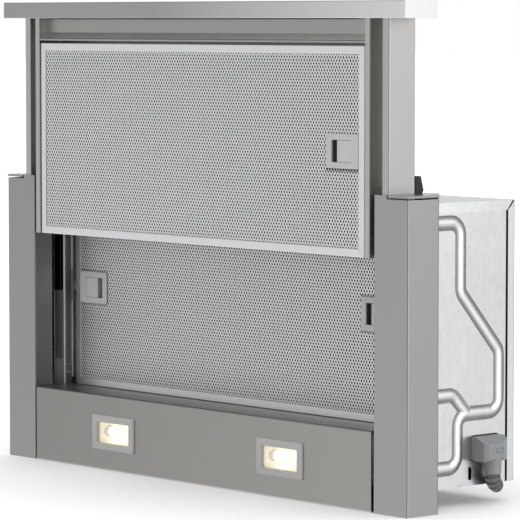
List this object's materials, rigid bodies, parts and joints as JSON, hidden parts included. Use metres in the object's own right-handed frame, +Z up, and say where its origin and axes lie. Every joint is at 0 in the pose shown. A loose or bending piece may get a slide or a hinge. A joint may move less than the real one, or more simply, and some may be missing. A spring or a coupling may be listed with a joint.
{
  "type": "slide-out cooker hood",
  "caption": "Built-in slide-out cooker extractor, upright, with a handle bar, pull-out filter frame, lamp panel, sheet-metal box, blower and duct collar.",
  "frame": {"origin": "middle of the rectangle of four cabinet-screw holes, in the rear plane of the posts' flanges", "axes": "+X to the viewer's right along the width, +Y from the filters towards the duct outlet, +Z up, the way the slide pulls out"},
  "size_m": [0.598, 0.2086, 0.4689],
  "materials": {
    "stainless": "satin stainless sheet",
    "stainless_slide": "satin stainless sheet",
    "galvanised": "bright galvanised sheet",
    "filter_rim": "mill finish",
    "filter_mesh": "expanded metal",
    "latch_plastic": "moulded, light grey",
    "lamp_trim": "painted grey",
    "lamp_glass": "clear",
    "lamp_reflector": "bright",
    "lamp_bulb": "lit",
    "lamp_ceramic": "unglazed",
    "rail_zinc": "zinc plated",
    "stop_rubber": "matt",
    "screw_zinc": "zinc plated",
    "blower_plastic": "moulded",
    "fan_plastic": "moulded",
    "motor_aluminium": "die cast",
    "motor_steel": "bare",
    "capacitor_plastic": "moulded",
    "inlet_plastic": "moulded",
    "connector_plastic": "moulded",
    "boot_rubber": "moulded"
  },
  "bodies": {
    "housing": {"blower_scroll": "blower_plastic", "box_bottom": "galvanised", "box_top": "galvanised", "collar_plate": "stainless", "connector": "connector_plastic", "connector_boot": "boot_rubber", "cover_screws": "screw_zinc", "intake_frame": "galvanised", "lamp_bulb_left": "lamp_bulb", "lamp_bulb_right": "lamp_bulb", "lamp_lens_left": "lamp_glass", "lamp_lens_right": "lamp_glass", "lamp_panel": "stainless", "lamp_reflector_left": "lamp_reflector", "lamp_reflector_right": "lamp_reflector", "lamp_sockets": "lamp_ceramic", "lamp_trim_left": "lamp_trim", "lamp_trim_right": "lamp_trim", "lower_filter_mesh": "filter_mesh", "lower_filter_rim": "filter_rim", "lower_latch_plate_left": "latch_plastic", "lower_latch_plate_right": "latch_plastic", "mains_inlet": "inlet_plastic", "motor_capacitor": "capacitor_plastic", "motor_core": "motor_steel", "motor_mounts": "stop_rubber", "motor_shield_front": "motor_aluminium", "motor_shield_rear": "motor_aluminium", "outer_rail_left": "rail_zinc", "outer_rail_right": "rail_zinc", "outlet_collar": "blower_plastic", "post_left": "stainless", "post_right": "stainless", "rear_cover": "galvanised", "scroll_cover": "blower_plastic", "shaft_bearings": "motor_steel", "side_panel_left": "galvanised", "side_panel_right": "galvanised", "slide_stops": "stop_rubber", "terminal_box": "blower_plastic"},
    "slide": {"handle_bar": "stainless_slide", "side_channel_left": "stainless_slide", "side_channel_right": "stainless_slide", "cross_member": "stainless_slide", "slide_back": "galvanised", "upper_filter_rim": "filter_rim", "upper_filter_mesh": "filter_mesh", "upper_latch_plate": "latch_plastic", "inner_rail_left": "rail_zinc", "inner_rail_right": "rail_zinc"},
    "upper_tab": {"upper_latch_tab": "latch_plastic"},
    "lower_tab_left": {"lower_latch_tab_left": "latch_plastic"},
    "lower_tab_right": {"lower_latch_tab_right": "latch_plastic"},
    "cage_left": {"ball_cage_left": "rail_zinc"},
    "cage_right": {"ball_cage_right": "rail_zinc"},
    "fan": {"impeller": "fan_plastic", "motor_rotor": "motor_steel"},
    "flap_left": {"flap_left": "blower_plastic"},
    "flap_right": {"flap_right": "blower_plastic"}
  },
  "joints": [
    {"name": "slide_travel", "type": "slide", "parent": "housing", "child": "slide", "axis": [0, 0, 1], "range_m": [-0.156, 0]},
    {"name": "cage_travel_left", "type": "slide", "parent": "housing", "child": "cage_left", "axis": [0, 0, 1], "range_m": [-0.078, 0]},
    {"name": "cage_travel_right", "type": "slide", "parent": "housing", "child": "cage_right", "axis": [0, 0, 1], "range_m": [-0.078, 0]},
    {"name": "upper_latch_slide", "type": "slide", "parent": "slide", "child": "upper_tab", "axis": [-1, 0, 0], "range_m": [0, 0.006], "stiffness_N_per_m": 400, "springref_m": -0.003},
    {"name": "lower_latch_slide_right", "type": "slide", "parent": "housing", "child": "lower_tab_right", "axis": [-1, 0, 0], "range_m": [0, 0.006], "stiffness_N_per_m": 400, "springref_m": -0.003},
    {"name": "lower_latch_slide_left", "type": "slide", "parent": "housing", "child": "lower_tab_left", "axis": [1, 0, 0], "range_m": [0, 0.006], "stiffness_N_per_m": 400, "springref_m": -0.003},
    {"name": "fan_spin", "type": "hinge", "parent": "housing", "child": "fan", "pos_m": [-0.082, 0.0547, 0.00595], "axis": [0, 1, 0], "continuous": true},
    {"name": "flap_hinge_right", "type": "hinge", "parent": "housing", "child": "flap_right", "pos_m": [0.122, 0.1407, 0.00595], "axis": [0, 0, 1], "range_deg": [0, 80], "stiffness_Nm_per_rad": 0.004, "springref_deg": -5.73},
    {"name": "flap_hinge_left", "type": "hinge", "parent": "housing", "child": "flap_left", "pos_m": [0.114, 0.1407, 0.00595], "axis": [0, 0, -1], "range_deg": [0, 80], "stiffness_Nm_per_rad": 0.004, "springref_deg": -5.73}
  ],
  "couplings": [
    {"joint": "cage_travel_left", "follows": "slide_travel", "ratio": 0.5},
    {"joint": "cage_travel_right", "follows": "slide_travel", "ratio": 0.5}
  ]
}
